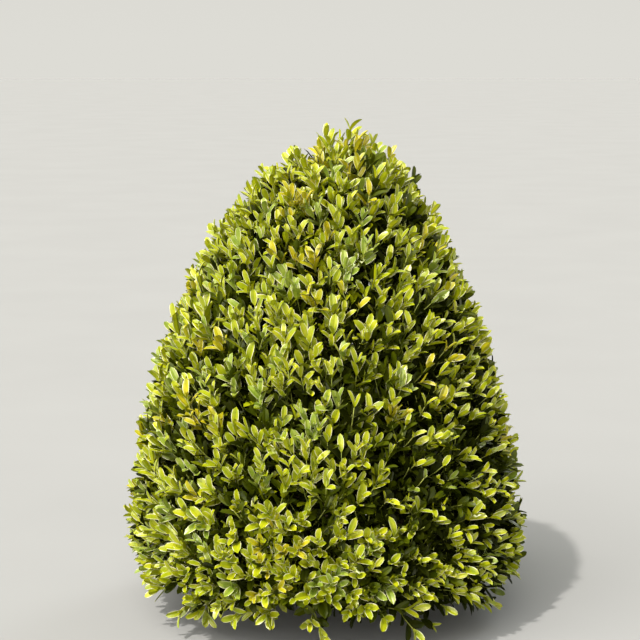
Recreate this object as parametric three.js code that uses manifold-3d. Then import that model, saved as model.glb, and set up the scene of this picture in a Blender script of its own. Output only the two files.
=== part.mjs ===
// Boxwood clipped to a round-topped cone, rooted in the ground: a stem with low boughs, and the dense
// foliage that they carry. Millimetres, +Z up, origin in the middle of the flat cut under the stem.
import * as THREE from "three";
import { mergeVertices } from "three/addons/utils/BufferGeometryUtils.js";
import Module from "manifold-3d";

// The crown's outline, over the tips of its shoots.
const HEIGHT = 620;
const CROWN_RADIUS = 254;
const WIDEST_Z = 100;
const FOOT_Z = 8;
const LOWEST_LEAF_Z = 4;
const FOOT_TUCK = 40;
// 1 would be a straight-sided cone and 2 half an ellipsoid.
const ROUNDNESS = 1.67;
// The share of the outline, from the tip down, that lies above the widest ring.
const UPPER_SHARE = 0.76;
// The tip leans towards +X, the rest of the crown hardly.
const TIP_LEAN = 24;
const LEAN_POWER = 6;

// The dense core that the shoots stand out of. It is hollow below, and open round the stem.
const CORE_DEPTH = 56;
const CORE_STEPS = 15;
const CORE_FACETS = 25;
const HOLLOW_Z = 150;
const CHANNEL_RADIUS = 17;

// The crown is carried in SIDE_MASSES sectors round one top mass, which sits in them along a cone.
const SIDE_MASSES = 5;
const SPLIT_SHARE = 0.36;
const SPLIT_SLOPE = 0.8;
const SPLIT_MARGIN = 0.015;
const CLEARANCE = 0.3;
// The cores are cut by a faceted cone, so leaves keep further off it.
const SPLIT_CLEARANCE = 1.5;

// The stem runs up to the top mass, and each bough leaves it low down for the middle of its sector.
const STEM_RADIUS = 12;
const STEM_TIP_RADIUS = 5.5;
const STEM_SWAY = 3;
// Shares of the stem's height at which it sways most, one way and the other.
const SWAY_LOW = 0.25;
const SWAY_HIGH = 0.6;
const STEM_SIDES = 15;
const STEM_STEPS = 11;
// Over 1, the stem's rings stand closer together at its flared foot.
const STEM_CROWDING = 1.6;
const FLARE = 9;
const FLARE_HEIGHT = 16;
const ROOT_LOBES = 5;
const LOBE_DEPTH = 0.45;
const BOUGH_RADIUS = 6.5;
const BOUGH_TIP_RADIUS = 4.5;
const BOUGH_SIDES = 8;
const BOUGH_STEPS = 6;
const BOUGH_REACH = 84;
const BOUGH_LOWEST = 46;
const BOUGH_STEP = 5;
// A bough starts inside the stem, runs out nearly level and then turns up: shares of its reach and rise.
const BOUGH_START = 0.3;
const BOUGH_BEND = { out: 0.5, up: 0.15 };
const BOUGH_TURN = { out: 0.85, up: 0.45 };
// How much of a mass's own stem shows outside its core, and how deep that goes in.
const MASS_STEM_SHOWS = 9;
const MASS_STEM_SINK = 26;
const MASS_STEM_STEPS = 2;
const PARTING_SEARCH = 0.01;

// A spray is a twig with two crossed pairs of leaves, at its tip and lower down. Some have a side twig.
const SPRAYS = 96;
const FORK_EVERY = 4;
const TWIG_RADIUS = 2.8;
const TWIG_TAPER = 0.7;
const TWIG_SINK = 10;
const TWIG_MIN = 7;
const BUD_LENGTH = 5;
const SIDE_TWIG_AT = 0.1;
const SIDE_TWIG_SHARE = 0.8;
const SIDE_TWIG_THINNER = 0.65;
const SIDE_TWIG_ANGLE = 1;
const LEAF_LENGTH = 50;
const LEAF_SPREAD = 0.24;
const LEAF_WIDTH = 26;
const LEAF_THICKNESS = 2.4;
const LEAF_SIDES = 5;
const LEAF_SINK = 0.4;
const SMALL_LEAF = 0.8;
const TIP_PAIR_BELOW = 4;
const TIP_PAIR_ANGLE = 0.5;
const LOWER_PAIR_AT = 0.45;
const LOWER_PAIR_ANGLE = 0.85;

// Shoots grow out of the crown and up, and less up near its foot.
const SHOOT_OUT = 0.6;
const SHOOT_RISE = 0.9;
const RISE_FULL_Z = 190;
const SHOOT_JITTER = 0.3;
const UPRIGHT_SHARE = 0.1;
const EDGE_MARGIN = 13;
const REACH_HALVINGS = 24;
// Leaves that leave their mass's space are tried again, turned about their twig by this.
const LEAF_TURN = Math.PI / 6;
const GOLDEN = (Math.sqrt(5) - 1) / 2;
const SEED = 20;
const TINY = 1e-4;

const UP = new THREE.Vector3(0, 0, 1);
const wasm = await Module();
wasm.setup();

// A repeatable stream of numbers from 0 to 1.
function seededRandom(seed) {
  let state = seed >>> 0;
  return () => {
    state = (state + 0x6d2b79f5) >>> 0;
    let mixed = Math.imul(state ^ (state >>> 15), state | 1);
    mixed ^= mixed + Math.imul(mixed ^ (mixed >>> 7), mixed | 61);
    return ((mixed ^ (mixed >>> 14)) >>> 0) / 4294967296;
  };
}

// Radius and height of the crown's outline, drawn in by an inset: share 0 is its tip and share 1 its foot.
function outlinePoint(share, inset = 0) {
  const radius = CROWN_RADIUS - inset;
  if (share <= UPPER_SHARE) {
    const angle = ((share / UPPER_SHARE) * Math.PI) / 2;
    const across = Math.max(0, Math.sin(angle)) ** (2 / ROUNDNESS);
    const up = Math.max(0, Math.cos(angle)) ** (2 / ROUNDNESS);
    return new THREE.Vector2(radius * across, WIDEST_Z + (HEIGHT - inset - WIDEST_Z) * up);
  }
  const angle = (((share - UPPER_SHARE) / (1 - UPPER_SHARE)) * Math.PI) / 2;
  const drop = (WIDEST_Z - FOOT_Z - inset) * Math.sin(angle);
  return new THREE.Vector2(radius - FOOT_TUCK * (1 - Math.cos(angle)), WIDEST_Z - drop);
}

// How far the crown's axis has leaned over at a height.
function leanAt(z) {
  return TIP_LEAN * (Math.max(0, z) / HEIGHT) ** LEAN_POWER;
}

// The way out of the crown at a share of its outline, as (outward, up).
function outlineNormal(share) {
  const step = 0.004;
  const above = outlinePoint(Math.max(0, share - step));
  const below = outlinePoint(Math.min(1, share + step));
  return new THREE.Vector2(above.y - below.y, below.x - above.x).normalize();
}

// Shares of the outline at the middles of count bands of equal surface, between two shares.
function evenShares(from, to, count) {
  const steps = 400;
  const areas = [0];
  for (let i = 1; i <= steps; i += 1) {
    const a = outlinePoint(from + ((to - from) * (i - 1)) / steps);
    const b = outlinePoint(from + ((to - from) * i) / steps);
    areas.push(areas[i - 1] + a.distanceTo(b) * Math.PI * (a.x + b.x));
  }
  const shares = [];
  for (let k = 0; k < count; k += 1) {
    const wanted = ((k + 0.5) / count) * areas[steps];
    const i = areas.findIndex((area) => area >= wanted);
    const part = (wanted - areas[i - 1]) / (areas[i] - areas[i - 1]);
    shares.push(from + ((to - from) * (i - 1 + part)) / steps);
  }
  return { shares, area: areas[steps] };
}

// Height of the cone that parts the top mass from the sectors, at a radius.
function splitHeight(radius) {
  const ring = outlinePoint(SPLIT_SHARE);
  return ring.y + (radius - ring.x) * SPLIT_SLOPE;
}

// A closed geometry as a solid that can be joined and cut.
function toSolid(geometry) {
  const bare = geometry.clone();
  bare.deleteAttribute("normal");
  bare.deleteAttribute("uv");
  const merged = mergeVertices(bare, TINY);
  const corners = merged.index.array;
  const kept = [];
  for (let i = 0; i < corners.length; i += 3) {
    const [a, b, c] = [corners[i], corners[i + 1], corners[i + 2]];
    if (a !== b && b !== c && c !== a) kept.push(a, b, c);
  }
  const vertProperties = merged.attributes.position.array;
  return new wasm.Manifold(
    new wasm.Mesh({ numProp: 3, vertProperties, triVerts: new Uint32Array(kept) }),
  );
}

// A solid as a geometry again.
function toGeometry(solid) {
  const mesh = solid.getMesh();
  const geometry = new THREE.BufferGeometry();
  geometry.setAttribute("position", new THREE.BufferAttribute(mesh.vertProperties, 3));
  geometry.setIndex(new THREE.BufferAttribute(mesh.triVerts, 1));
  geometry.computeVertexNormals();
  return geometry;
}

// Joins solids into one body. Loose scraps and the shells of sealed hollows are left out.
function fuse(solids) {
  const bodies = wasm.Manifold.union(solids).decompose();
  return bodies.reduce((a, b) => (b.volume() > a.volume() ? b : a));
}

// Bends an upright cylinder along a curve between two shares of its length. radiusAt gives the radius
// from the share and the angle round the limb, and alongAt the way that a ring faces.
function limbSolid({ curve, from, to, sides, steps, crowding = 1, radiusAt, alongAt }) {
  const geometry = new THREE.CylinderGeometry(1, 1, 1, sides, steps);
  const place = geometry.attributes.position;
  const local = new THREE.Vector3();
  for (let i = 0; i < place.count; i += 1) {
    local.fromBufferAttribute(place, i);
    const share = from + (to - from) * (local.y + 0.5) ** crowding;
    const middle = curve.getPointAt(share);
    const along = alongAt(share);
    const side = new THREE.Vector3(1, 0, 0).addScaledVector(along, -along.x).normalize();
    const other = new THREE.Vector3().crossVectors(along, side);
    const radius = radiusAt(share, Math.atan2(local.z, local.x));
    middle.addScaledVector(side, -local.z * radius);
    middle.addScaledVector(other, -local.x * radius);
    place.setXYZ(i, middle.x, middle.y, middle.z);
  }
  return toSolid(geometry);
}

// The stem up to its parting from the top mass, and that mass's own stem. Rings are level, the foot flat.
function stemParts(grow = 0) {
  const top = splitHeight(0) + MASS_STEM_SINK;
  const curve = new THREE.CatmullRomCurve3([
    new THREE.Vector3(0, 0, 0),
    new THREE.Vector3(STEM_SWAY, 0, top * SWAY_LOW),
    new THREE.Vector3(-STEM_SWAY / 2, STEM_SWAY / 2, top * SWAY_HIGH),
    new THREE.Vector3(0, 0, top),
  ]);
  const length = curve.getLength();
  const parting = 1 - (MASS_STEM_SINK + MASS_STEM_SHOWS) / length;
  const radiusAt = (share, angle) => {
    const taper = STEM_RADIUS + (STEM_TIP_RADIUS - STEM_RADIUS) * share;
    const flare = FLARE * Math.exp((-share * length) / FLARE_HEIGHT);
    return taper + grow + flare * (1 + LOBE_DEPTH * Math.cos(ROOT_LOBES * angle));
  };
  const shape = { curve, sides: STEM_SIDES, radiusAt, alongAt: () => UP };
  const crowding = STEM_CROWDING;
  return {
    stem: limbSolid({ ...shape, from: 0, to: parting, steps: STEM_STEPS, crowding }),
    massStem: limbSolid({ ...shape, from: parting + CLEARANCE / length, to: 1, steps: 1 }),
  };
}

// Height of the cores' hollow underside at a radius.
function undersideHeight(radius) {
  const foot = outlinePoint(1, CORE_DEPTH);
  return HOLLOW_Z + ((foot.y - HOLLOW_Z) * radius) / foot.x;
}

// A bough that leaves the stem's side at a height and curves up to its sector, and that sector's own stem.
function boughParts(azimuth, height) {
  const out = (radius, z) =>
    new THREE.Vector3(radius * Math.cos(azimuth), radius * Math.sin(azimuth), z);
  const rise = undersideHeight(BOUGH_REACH) + MASS_STEM_SINK - height;
  const curve = new THREE.CubicBezierCurve3(
    out(STEM_RADIUS * BOUGH_START, height),
    out(BOUGH_REACH * BOUGH_BEND.out, height + rise * BOUGH_BEND.up),
    out(BOUGH_REACH * BOUGH_TURN.out, height + rise * BOUGH_TURN.up),
    out(BOUGH_REACH, height + rise),
  );
  let parting = 1;
  let point = curve.getPointAt(parting);
  while (point.z > undersideHeight(Math.hypot(point.x, point.y)) - MASS_STEM_SHOWS) {
    parting -= PARTING_SEARCH;
    point = curve.getPointAt(parting);
  }
  const shape = {
    curve,
    sides: BOUGH_SIDES,
    radiusAt: (share) => BOUGH_RADIUS + (BOUGH_TIP_RADIUS - BOUGH_RADIUS) * share,
    alongAt: (share) => curve.getTangentAt(share),
  };
  const from = parting + CLEARANCE / curve.getLength();
  return {
    bough: limbSolid({ ...shape, from: 0, to: parting, steps: BOUGH_STEPS }),
    massStem: limbSolid({ ...shape, from, to: 1, steps: MASS_STEM_STEPS }),
  };
}

// The dense core of the whole crown: the outline's inset, leaned over, with a hollow underside.
function crownCore() {
  const profile = [new THREE.Vector2(0, HOLLOW_Z)];
  for (let i = CORE_STEPS; i >= 0; i -= 1) {
    profile.push(outlinePoint(i / CORE_STEPS, CORE_DEPTH));
  }
  const geometry = latheUpright(profile);
  const place = geometry.attributes.position;
  for (let i = 0; i < place.count; i += 1) {
    place.setX(i, place.getX(i) + leanAt(place.getZ(i)));
  }
  return toSolid(geometry);
}

// The space of the top mass's core: all that lies above the parting cone, raised by an offset.
function aboveSplit(offset) {
  const radius = CROWN_RADIUS * 2;
  const bottom = splitHeight(0) + offset;
  const top = splitHeight(radius) + offset;
  const profile = [
    new THREE.Vector2(0, bottom),
    new THREE.Vector2(radius, top),
    new THREE.Vector2(0, top),
  ];
  return toSolid(latheUpright(profile));
}

// The open way up through the sectors' cores that holds the stem.
function channelSolid() {
  const geometry = new THREE.CylinderGeometry(CHANNEL_RADIUS, CHANNEL_RADIUS, HEIGHT, BOUGH_SIDES);
  return toSolid(geometry.rotateX(Math.PI / 2).translate(0, 0, HEIGHT / 2));
}

// A lathe about +Z of a profile that is given from the bottom outwards and up.
function latheUpright(profile) {
  return new THREE.LatheGeometry(profile, CORE_FACETS).rotateX(Math.PI / 2);
}

// An upright wedge that holds one sector, short of its neighbours by half the clearance.
function wedgeSolid(from, to) {
  const reach = CROWN_RADIUS * 2;
  const middle = (from + to) / 2;
  const inset = CLEARANCE / 2 / Math.sin((to - from) / 2);
  const at = (radius, angle) => [radius * Math.cos(angle), radius * Math.sin(angle)];
  const shape = new THREE.Shape();
  const [x, y] = at(inset, middle);
  shape.moveTo(x, y);
  for (const angle of [from, middle, to]) {
    const [farX, farY] = at(reach, angle);
    shape.lineTo(x + farX, y + farY);
  }
  shape.closePath();
  return toSolid(new THREE.ExtrudeGeometry(shape, { depth: HEIGHT, bevelEnabled: false }));
}

// A three-sided twig that ends in a pointed bud.
function twigGeometry({ root, direction, radius, length }) {
  const profile = [
    new THREE.Vector2(0, 0),
    new THREE.Vector2(radius, 0),
    new THREE.Vector2(radius * TWIG_TAPER, length),
    new THREE.Vector2(0, length + BUD_LENGTH),
  ];
  const turn = new THREE.Quaternion().setFromUnitVectors(new THREE.Vector3(0, 1, 0), direction);
  return new THREE.LatheGeometry(profile, 3)
    .applyQuaternion(turn)
    .translate(root.x, root.y, root.z);
}

// A leaf: a flat five-sided double pyramid, pointed at its root and blunt at its tip.
function leafGeometry(root, direction, face, length) {
  const profile = [
    new THREE.Vector2(0, -LEAF_THICKNESS / 2),
    new THREE.Vector2(1, 0),
    new THREE.Vector2(0, LEAF_THICKNESS / 2),
  ];
  const geometry = new THREE.LatheGeometry(profile, LEAF_SIDES);
  const along = length / (1 + Math.cos(Math.PI / LEAF_SIDES));
  const across = LEAF_WIDTH / 2 / Math.sin((2 * Math.PI) / LEAF_SIDES);
  // The lathe's first corner lies at +Z: it becomes the root.
  geometry.scale(across, 1, -along);
  geometry.translate(0, 0, along - LEAF_SINK);
  flipFaces(geometry);
  const side = new THREE.Vector3().crossVectors(face, direction);
  const frame = new THREE.Matrix4().makeBasis(side, face, direction).setPosition(root);
  return geometry.applyMatrix4(frame);
}

// Turns every face round after a mirroring scale.
function flipFaces(geometry) {
  const corners = geometry.index.array;
  for (let i = 0; i < corners.length; i += 3) {
    [corners[i + 1], corners[i + 2]] = [corners[i + 2], corners[i + 1]];
  }
}

// A unit vector square to a direction, turned about it by an angle.
function squareTo(direction, turn) {
  const level = new THREE.Vector3().crossVectors(direction, UP);
  if (level.lengthSq() < TINY) level.set(1, 0, 0);
  return level.normalize().applyAxisAngle(direction, turn);
}

// A direction tipped by an angle towards a unit vector square to it.
function tipped(direction, towards, angle) {
  return direction
    .clone()
    .multiplyScalar(Math.cos(angle))
    .addScaledVector(towards, Math.sin(angle));
}

// Every leaf of a shoot: crossed pairs at their places along the twig, tipped away from it by their angles.
function shootLeaves(shoot, turn) {
  const leaves = [];
  shoot.pairs.forEach(({ at, angle, length }, pair) => {
    const root = shoot.root.clone().addScaledVector(shoot.direction, at);
    for (const half of [0, 1]) {
      const roll = turn + pair * (Math.PI / 2) + half * Math.PI;
      const away = shoot.across.clone().applyAxisAngle(shoot.direction, roll);
      const direction = tipped(shoot.direction, away, angle);
      const face = tipped(shoot.direction, away, angle - Math.PI / 2);
      leaves.push(leafGeometry(root, direction, face.negate(), length));
    }
  });
  return leaves;
}

// How far it is from a point along a direction to the crown's outline.
function reachOf(start, direction) {
  let low = 0;
  let high = CROWN_RADIUS;
  for (let i = 0; i < REACH_HALVINGS; i += 1) {
    const middle = (low + high) / 2;
    const point = start.clone().addScaledVector(direction, middle);
    if (insideCrown(point)) low = middle;
    else high = middle;
  }
  return low;
}

function insideCrown(point) {
  const radius = Math.hypot(point.x - leanAt(point.z), point.y);
  if (point.z < FOOT_Z) return false;
  if (point.z < WIDEST_Z) {
    const drop = (WIDEST_Z - point.z) / (WIDEST_Z - FOOT_Z);
    return radius < CROWN_RADIUS - FOOT_TUCK * (1 - Math.sqrt(1 - drop * drop));
  }
  const rise = (point.z - WIDEST_Z) / (HEIGHT - WIDEST_Z);
  return rise ** ROUNDNESS + (radius / CROWN_RADIUS) ** ROUNDNESS < 1;
}

// The way a shoot grows at a share of the outline: out of the crown and up, and less up near the foot.
function shootDirection(share, azimuth, z) {
  const normal = outlineNormal(share);
  const rise = SHOOT_RISE * Math.min(1, (z - FOOT_Z - CORE_DEPTH) / RISE_FULL_Z);
  const outward = SHOOT_OUT * (Math.min(1, share / UPRIGHT_SHARE) + normal.x);
  return new THREE.Vector3(
    outward * Math.cos(azimuth),
    outward * Math.sin(azimuth),
    SHOOT_OUT * normal.y + rise,
  ).normalize();
}

// The sprays of one mass, spread evenly over its part of the crown.
function spraysOf(mass, random) {
  const { shares } = evenShares(mass.fromShare, mass.toShare, mass.sprays);
  return shares.map((middle, k) => {
    const share = mass.whole && k === 0 ? 0 : middle;
    const base = outlinePoint(share, CORE_DEPTH);
    const margin = mass.whole ? 0 : EDGE_MARGIN / base.x;
    const width = mass.to - mass.from - 2 * margin;
    const azimuth = mass.from + margin + width * ((k * GOLDEN + mass.start) % 1);
    const start = new THREE.Vector3(base.x * Math.cos(azimuth), base.x * Math.sin(azimuth), base.y);
    start.x += leanAt(base.y);
    const jitter = new THREE.Vector3(random() - 0.5, random() - 0.5, random() - 0.5);
    const direction = shootDirection(share, azimuth, base.y);
    if (share > 0) direction.addScaledVector(jitter, SHOOT_JITTER).normalize();
    const across = squareTo(direction, random() * Math.PI);
    const leafLength = LEAF_LENGTH * (1 + LEAF_SPREAD * (random() - 0.5));
    return { start, direction, across, leafLength, forked: k % FORK_EVERY === 0 };
  });
}

// The shoots of a spray: its twig out to the outline and, where it forks, a side twig low on that.
function shootsOf({ start, direction, across, leafLength, forked }) {
  const reach = reachOf(start, direction) - leafLength * Math.cos(TIP_PAIR_ANGLE);
  const twig = Math.max(TWIG_MIN, reach + TIP_PAIR_BELOW);
  const tipPair = {
    at: TWIG_SINK + twig - TIP_PAIR_BELOW,
    angle: TIP_PAIR_ANGLE,
    length: leafLength,
  };
  const lowerPair = {
    at: TWIG_SINK + twig * LOWER_PAIR_AT,
    angle: LOWER_PAIR_ANGLE,
    length: leafLength * SMALL_LEAF,
  };
  const shoots = [
    {
      root: start.clone().addScaledVector(direction, -TWIG_SINK),
      direction,
      across,
      radius: TWIG_RADIUS,
      length: TWIG_SINK + twig,
      pairs: [tipPair, lowerPair],
    },
  ];
  if (forked) {
    const length = twig * SIDE_TWIG_SHARE;
    shoots.push({
      root: start.clone().addScaledVector(direction, twig * SIDE_TWIG_AT),
      direction: tipped(direction, across, SIDE_TWIG_ANGLE),
      across: new THREE.Vector3().crossVectors(direction, across),
      radius: TWIG_RADIUS * SIDE_TWIG_THINNER,
      length,
      pairs: [{ ...tipPair, at: length - TIP_PAIR_BELOW, length: leafLength * SMALL_LEAF }],
    });
  }
  return shoots;
}

// The twigs and leaves of one spray that keep inside the mass's space.
function spraySolids(spray, mass) {
  const solids = [];
  for (const shoot of shootsOf(spray)) {
    const twig = twigGeometry(shoot);
    if (!keepsInside(twig, mass)) break;
    solids.push(toSolid(twig));
    for (const leaf of fittingLeaves(shoot, mass)) solids.push(toSolid(leaf));
  }
  return solids;
}

// The leaves of a shoot, turned about it until the most keep inside the mass's space.
function fittingLeaves(shoot, mass) {
  let best = [];
  for (let turn = 0; turn < Math.PI; turn += LEAF_TURN) {
    const leaves = shootLeaves(shoot, turn);
    const kept = leaves.filter((leaf) => keepsInside(leaf, mass));
    if (kept.length > best.length) best = kept;
    if (best.length === leaves.length) break;
  }
  return best;
}

// Whether every corner of a shape lies in the mass's space, clear of its neighbours and of the ground.
function keepsInside(geometry, mass) {
  const place = geometry.attributes.position;
  const point = new THREE.Vector3();
  for (let i = 0; i < place.count; i += 1) {
    point.fromBufferAttribute(place, i);
    const radius = Math.hypot(point.x, point.y);
    const fromSplit = (point.z - splitHeight(radius)) * mass.above;
    if (fromSplit < SPLIT_CLEARANCE) return false;
    if (point.z < LOWEST_LEAF_Z || point.z > HEIGHT || radius > CROWN_RADIUS) return false;
    if (!mass.whole && sideClearance(point, mass) < CLEARANCE) return false;
  }
  return true;
}

// Distance of a point from the nearer of a sector's two side planes, negative outside.
function sideClearance(point, mass) {
  const past = Math.cos(mass.from) * point.y - Math.sin(mass.from) * point.x;
  const before = Math.sin(mass.to) * point.x - Math.cos(mass.to) * point.y;
  return Math.min(past, before);
}

// The masses' spaces: one on top, and the sectors round the stem. above is 1 over the parting cone, or -1.
function massSpaces() {
  const topArea = evenShares(0, SPLIT_SHARE, 1).area;
  const sideArea = evenShares(SPLIT_SHARE, 1, 1).area;
  const topSprays = Math.round((SPRAYS * topArea) / (topArea + sideArea));
  const sideSprays = Math.round((SPRAYS - topSprays) / SIDE_MASSES);
  const top = {
    fromShare: SPLIT_MARGIN,
    toShare: SPLIT_SHARE - SPLIT_MARGIN,
    from: 0,
    to: 2 * Math.PI,
    whole: true,
    above: 1,
    sprays: topSprays,
    start: 0,
  };
  const sides = [];
  for (let i = 0; i < SIDE_MASSES; i += 1) {
    const from = (i * 2 * Math.PI) / SIDE_MASSES;
    sides.push({
      fromShare: SPLIT_SHARE + SPLIT_MARGIN,
      toShare: 1,
      from,
      to: from + (2 * Math.PI) / SIDE_MASSES,
      whole: false,
      above: -1,
      sprays: sideSprays,
      start: i * GOLDEN * GOLDEN,
    });
  }
  return { top, sides };
}

// One mass of foliage: its core, its own stem and every spray that fits.
function massSolid(mass, core, massStem, seed) {
  const random = seededRandom(seed);
  const solids = [core, massStem];
  for (const spray of spraysOf(mass, random)) solids.push(...spraySolids(spray, mass));
  return fuse(solids);
}

function barkMaterial() {
  return new THREE.MeshStandardMaterial({ color: 0x8a7a5e, roughness: 0.9, metalness: 0 });
}

function leafMaterial() {
  return new THREE.MeshStandardMaterial({ color: 0x7f9a2c, roughness: 0.5, metalness: 0 });
}

function addMesh(group, name, solid, material) {
  const mesh = new THREE.Mesh(toGeometry(solid), material);
  mesh.name = name;
  group.add(mesh);
}

function boxwoodCone() {
  const group = new THREE.Group();
  const { stem, massStem } = stemParts();
  const stemSpace = stemParts(CLEARANCE).stem;
  addMesh(group, "stem", stem, barkMaterial());
  const { top, sides } = massSpaces();
  const core = crownCore();
  const ring = core.subtract(aboveSplit(0)).subtract(channelSolid());
  sides.forEach((side, i) => {
    const height = BOUGH_LOWEST + BOUGH_STEP * ((i * 2) % SIDE_MASSES);
    const parts = boughParts((side.from + side.to) / 2, height);
    addMesh(group, `bough_${i + 1}`, fuse([parts.bough.subtract(stemSpace)]), barkMaterial());
    const sector = ring.intersect(wedgeSolid(side.from, side.to));
    const mass = massSolid(side, sector, parts.massStem, SEED + i);
    addMesh(group, `foliage_side_${i + 1}`, mass, leafMaterial());
  });
  const cap = core.intersect(aboveSplit(CLEARANCE));
  addMesh(group, "foliage_top", massSolid(top, cap, massStem, SEED + SIDE_MASSES), leafMaterial());
  return group;
}

export default boxwoodCone();
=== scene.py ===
"""Looks of the clipped box cone: leaves and twigs grown by the CAD source's rule, on finer shoots.

Metres, +Z up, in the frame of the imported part. -Y is the side that the photograph shows.
"""
import math

import bpy
import numpy as np
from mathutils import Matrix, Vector


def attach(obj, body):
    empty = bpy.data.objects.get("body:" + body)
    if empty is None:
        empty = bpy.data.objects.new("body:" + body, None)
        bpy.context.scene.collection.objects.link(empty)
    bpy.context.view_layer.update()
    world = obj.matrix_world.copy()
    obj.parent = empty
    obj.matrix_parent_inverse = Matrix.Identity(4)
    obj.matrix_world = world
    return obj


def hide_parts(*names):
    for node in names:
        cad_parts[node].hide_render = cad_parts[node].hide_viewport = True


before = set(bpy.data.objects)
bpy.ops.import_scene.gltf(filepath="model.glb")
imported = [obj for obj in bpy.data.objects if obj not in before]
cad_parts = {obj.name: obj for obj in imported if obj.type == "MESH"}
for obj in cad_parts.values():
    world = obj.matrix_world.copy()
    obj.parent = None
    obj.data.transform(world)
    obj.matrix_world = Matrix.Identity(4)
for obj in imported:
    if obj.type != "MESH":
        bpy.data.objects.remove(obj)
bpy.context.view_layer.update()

# In the names below, a RANGE is the least and the greatest value of a draw, a SPREAD is its standard
# deviation, a MORE is the most that it adds, and a START is where things begin, as a part of a turn.
SEED = 20
GOLDEN = (math.sqrt(5) - 1) / 2
UP = np.array([0.0, 0.0, 1.0])
# The least length that anything is divided by, and that of a level side taken as none.
TINY = 1e-12
NEARLY_UPRIGHT = 1e-3

# The crown's outline, over the tips of its shoots, as in the source.
HEIGHT = 0.620
CROWN_RADIUS = 0.254
WIDEST_Z = 0.100
FOOT_Z = 0.008
FOOT_TUCK = 0.040
ROUNDNESS = 1.67
UPPER_SHARE = 0.76
TIP_LEAN = 0.024
LEAN_POWER = 6

# How finely the outline and a bough's curve are sampled, and how often a search halves its range.
OUTLINE_SAMPLES = 401
CURVE_SAMPLES = 201
NORMAL_STEP = 0.004
PARTING_STEP = 0.01
HALVINGS = 24

# How the source parts the crown into a top mass and sectors.
SIDE_MASSES = 5
SPLIT_SHARE = 0.36
SPLIT_SLOPE = 0.8
CORE_DEPTH = 0.056
HOLLOW_Z = 0.150

# The stem, as in the source. It sways at these parts of its height by these parts of STEM_SWAY. The rings
# of its mesh crowd towards the flared root.
STEM_RADIUS = 0.012
STEM_TIP_RADIUS = 0.0055
STEM_SWAY = 0.003
SWAY_PLACES = (0, 0.25, 0.6, 1)
SWAY_X = (0, 1, -0.5, 0)
SWAY_Y = (0, 0, 0.5, 0)
FLARE = 0.009
FLARE_HEIGHT = 0.016
ROOT_LOBES = 5
LOBE_DEPTH = 0.45
STEM_RINGS = 110
STEM_RING_CROWDING = 1.4

# The boughs, as in the source. Each leaves the stem BOUGH_SKIP steps above the one before it, and those
# that would come out above the highest step begin again from below.
BOUGH_RADIUS = 0.0065
BOUGH_TIP_RADIUS = 0.0045
BOUGH_REACH = 0.084
BOUGH_LOWEST = 0.046
BOUGH_STEP = 0.005
BOUGH_SKIP = 2
# A bough's control points: distance from the stem's axis, and part of the bough's rise.
BOUGH_CONTROLS = ((0.0036, 0), (0.042, 0.15), (0.0714, 0.45), (BOUGH_REACH, 1))
BOUGH_FIRST_SHARE = 0.02
BOUGH_RINGS = 40

# Each mass has a stem of its own, which shows a little below it and forks inside it.
MASS_STEM_SHOWS = 0.009
MASS_STEM_SINK = 0.026
TOP_MASS_STEM_RADIUS = 0.00583
SIDE_MASS_STEM_RADIUS = 0.00495
FORK_RADIUS = 0.00432
MASS_STEM_SIDES = 12
MASS_STEM_RINGS = 4

# Bark relief: furrows that run along a limb, wander round it and fade in places, and swellings across it.
BARK_SIDES = 48
FURROWS = 13
FURROW_DEPTH = 0.0008
# Each wave of the furrows' wandering: its swing in radians, radians per metre of limb, and phase.
FURROW_DRIFTS = ((1.1, 55, 0), (0.7, 131, 1.7))
# WAVES go round a limb, and a RATE is in radians per metre along it.
FURROW_UNEVENNESS = 0.6
UNEVEN_WAVES = 3
FADE_MEAN = 0.6
FADE_SWING = 0.4
FADE_RATE = 240
FADE_TWIST = 2
FADE_WAVES = 2
SWELLING = 0.0005
SWELL_RATE = 95
SWELL_PHASE = 1
SWELL_WAVES = 2
SWELL_TURN = 0.5

# Branches inside a mass carry its sprays. They swing out a little and sag on their way.
BRANCHES = 62
BRANCH_DEPTH = 0.105
BRANCH_START = 0.37
BRANCH_RADIUS = 0.0036
BRANCH_TIP_RADIUS = 0.0018
BRANCH_SWING = 1.12
BRANCH_SAG = 0.15
BRANCH_LEAST_SAG = 0.01
BRANCH_WOBBLE = 0.0015
BRANCH_SIDES = 6
BRANCH_RINGS = 8
TWIG_RADIUS = 0.0013
TWIG_SIDES = 4
TWIG_RINGS = 5
SHOOT_RADIUS = 0.00096
SHOOT_TIP_RADIUS = 0.0005
SHOOT_SIDES = 3
MAIN_RINGS = 5
SIDE_RINGS = 3

# Sprays: a main shoot out to the outline and side shoots that end inside it.
SPRAYS = 1130
SPRAY_DEPTH = 0.064
BASE_SPREAD = 0.004
MAIN_SHORTEST = 0.012
MAIN_VIGOUR_RANGE = (0.86, 1.14)
# For each side shoot: its place on the main shoot, its angle, and how far inside the outline it ends.
SIDE_SHOOTS = ((0.42, 0.70, 0.003), (0.26, 0.85, 0.020), (0.12, 1.0, 0.036), (0.02, 1.5, 0.050))
SIDE_PLACE_MORE = 0.12
SIDE_ANGLE_RANGE = (0.8, 1.2)
SIDE_TURN = 2.4
SIDE_TURN_SPREAD = 0.3
SIDE_RISE = 0.5
SIDE_LEAF_REACH = 0.75
SIDE_END_MORE = 0.010
SIDE_SHORTEST = 0.008
SIDE_LONGEST = 0.045
SIDE_VIGOUR_RANGE = (0.82, 1.0)
# Sprays deep in the crown, in the shade tint as painted shade, close the view through it.
HEART_SHARE = 0.6
HEART_DEPTH = 0.088
HEART_START = 0.19
HEART_LENGTH = 0.035
HEART_SPREAD = 0.5
HEART_PAIRS = 4
HEART_VIGOUR = 1.3

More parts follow.
